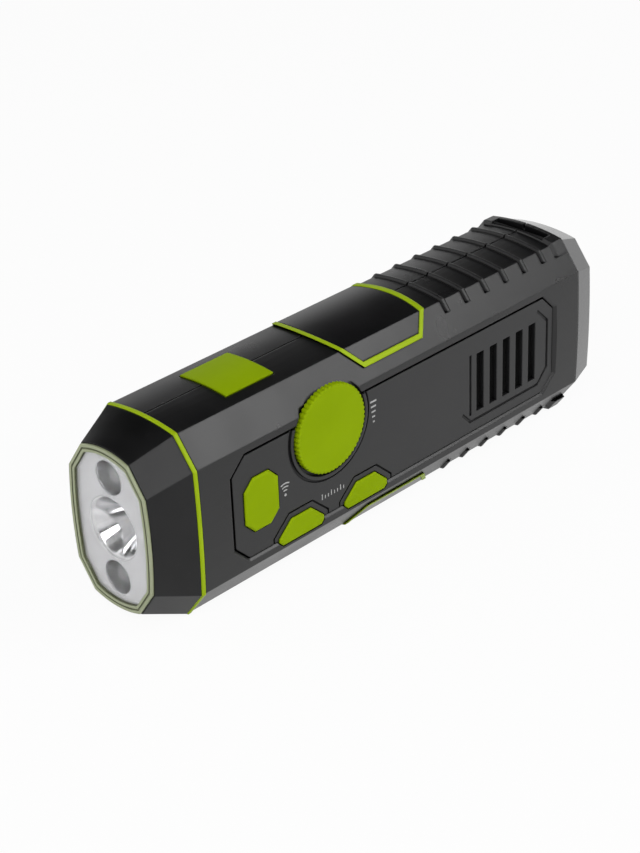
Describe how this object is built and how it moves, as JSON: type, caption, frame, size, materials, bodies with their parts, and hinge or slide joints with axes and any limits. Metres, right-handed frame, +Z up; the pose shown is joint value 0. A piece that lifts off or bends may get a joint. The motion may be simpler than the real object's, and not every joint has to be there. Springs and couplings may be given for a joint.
{
  "type": "hand crank flashlight",
  "caption": "Octagonal hand crank flashlight with a lensed reflector head, ribbed grip, speaker grille, volume dial, keys and a side crank whose knob folds into its arm.",
  "frame": {"origin": "under the middle of the flat bottom panel, on the surface that the flashlight lies on", "axes": "+X along the body from the lens to the tail, -Y towards the control side, +Z up"},
  "size_m": [0.17, 0.0462, 0.0554],
  "materials": {
    "black_shell": "satin moulded",
    "gloss_black": "polished moulded",
    "green_trim": "satin moulded",
    "green_keys": "satin moulded",
    "seal_rubber": "soft satin",
    "clear_lens": "polished",
    "silvered_plastic": "vacuum metallised",
    "led_resin": "clear moulded",
    "board_laminate": "solder resist",
    "chip_plastic": "matt",
    "bright_steel": "zinc plated",
    "speaker_paper": "pressed paper",
    "magnet_iron": "sintered",
    "gear_acetal": "moulded",
    "bush_brass": "turned",
    "copper_wire": "enamelled",
    "rotor_plastic": "moulded"
  },
  "bodies": {
    "housing": {"control_shell": "black_shell", "crank_shell": "black_shell", "head_bezel": "black_shell", "front_trim_ring": "green_trim", "lens_seal": "seal_rubber", "front_lens": "clear_lens", "reflector": "silvered_plastic", "led_board": "board_laminate", "main_led": "led_resin", "side_leds": "led_resin", "top_trim": "green_trim", "top_panel": "gloss_black", "bottom_trim": "green_trim", "bottom_panel": "gloss_black", "tail_cap": "gloss_black", "strap_pin": "bright_steel", "shell_screws": "bright_steel", "control_panel": "black_shell", "circuit_board": "board_laminate", "board_screws": "bright_steel", "board_chips": "chip_plastic", "key_switches": "chip_plastic", "potentiometer": "chip_plastic", "speaker_frame": "bright_steel", "speaker_cone": "speaker_paper", "speaker_magnet": "magnet_iron", "switch_board": "board_laminate", "torch_switch": "chip_plastic", "battery_cradle": "gear_acetal", "battery_cells": "bright_steel", "battery_wrap": "chip_plastic", "battery_tabs": "bright_steel", "gearbox_plate": "gear_acetal", "gearbox_screws": "bright_steel", "gear_axles": "bright_steel", "shaft_bush": "bush_brass", "generator_case": "bright_steel", "generator_coil": "copper_wire"},
    "crank": {"crank_arm": "gloss_black", "crank_shaft": "bright_steel", "crank_gear": "gear_acetal", "crank_screw": "bright_steel", "hinge_pin": "bright_steel"},
    "knob_carrier": {"knob_carrier": "gear_acetal"},
    "knob": {"crank_knob": "gloss_black"},
    "second_gear": {"second_gear": "gear_acetal"},
    "third_gear": {"third_gear": "gear_acetal"},
    "rotor": {"generator_rotor": "rotor_plastic"},
    "torch_button": {"torch_button": "green_keys"},
    "siren_button": {"siren_button": "green_keys"},
    "tune_down_button": {"tune_down_button": "green_keys"},
    "tune_up_button": {"tune_up_button": "green_keys"},
    "volume_dial": {"volume_dial": "green_keys"}
  },
  "joints": [
    {"name": "crank_turn", "type": "hinge", "parent": "housing", "child": "crank", "pos_m": [-0.012, 0, 0.0273], "axis": [0, 1, 0], "continuous": true},
    {"name": "knob_fold", "type": "hinge", "parent": "crank", "child": "knob_carrier", "pos_m": [0.04, 0.0232, 0.0273], "axis": [0, 0, -1], "range_deg": [0, 90]},
    {"name": "knob_spin", "type": "hinge", "parent": "knob_carrier", "child": "knob", "pos_m": [0.022, 0.0232, 0.0273], "axis": [-1, 0, 0], "continuous": true},
    {"name": "second_gear_spin", "type": "hinge", "parent": "housing", "child": "second_gear", "pos_m": [0.0051, 0, 0.0273], "axis": [0, 1, 0], "continuous": true},
    {"name": "third_gear_spin", "type": "hinge", "parent": "housing", "child": "third_gear", "pos_m": [0.0181, 0, 0.0273], "axis": [0, 1, 0], "continuous": true},
    {"name": "rotor_spin", "type": "hinge", "parent": "housing", "child": "rotor", "pos_m": [0.0286, 0, 0.0273], "axis": [0, 1, 0], "continuous": true},
    {"name": "torch_press", "type": "slide", "parent": "housing", "child": "torch_button", "axis": [0, 0, -1], "range_m": [0, 0.0006], "stiffness_N_per_m": 500, "springref_m": -0.0004},
    {"name": "siren_press", "type": "slide", "parent": "housing", "child": "siren_button", "axis": [0, 1, 0], "range_m": [0, 0.0006], "stiffness_N_per_m": 500, "springref_m": -0.0004},
    {"name": "tune_down_press", "type": "slide", "parent": "housing", "child": "tune_down_button", "axis": [0, 1, 0], "range_m": [0, 0.0006], "stiffness_N_per_m": 500, "springref_m": -0.0004},
    {"name": "tune_up_press", "type": "slide", "parent": "housing", "child": "tune_up_button", "axis": [0, 1, 0], "range_m": [0, 0.0006], "stiffness_N_per_m": 500, "springref_m": -0.0004},
    {"name": "volume_turn", "type": "hinge", "parent": "housing", "child": "volume_dial", "pos_m": [-0.0252, -0.018, 0.0374], "axis": [0, -1, 0], "range_deg": [0, 280]}
  ],
  "couplings": [
    {"joint": "second_gear_spin", "follows": "crank_turn", "ratio": -3.75},
    {"joint": "third_gear_spin", "follows": "crank_turn", "ratio": 12.5},
    {"joint": "rotor_spin", "follows": "crank_turn", "ratio": -40}
  ]
}
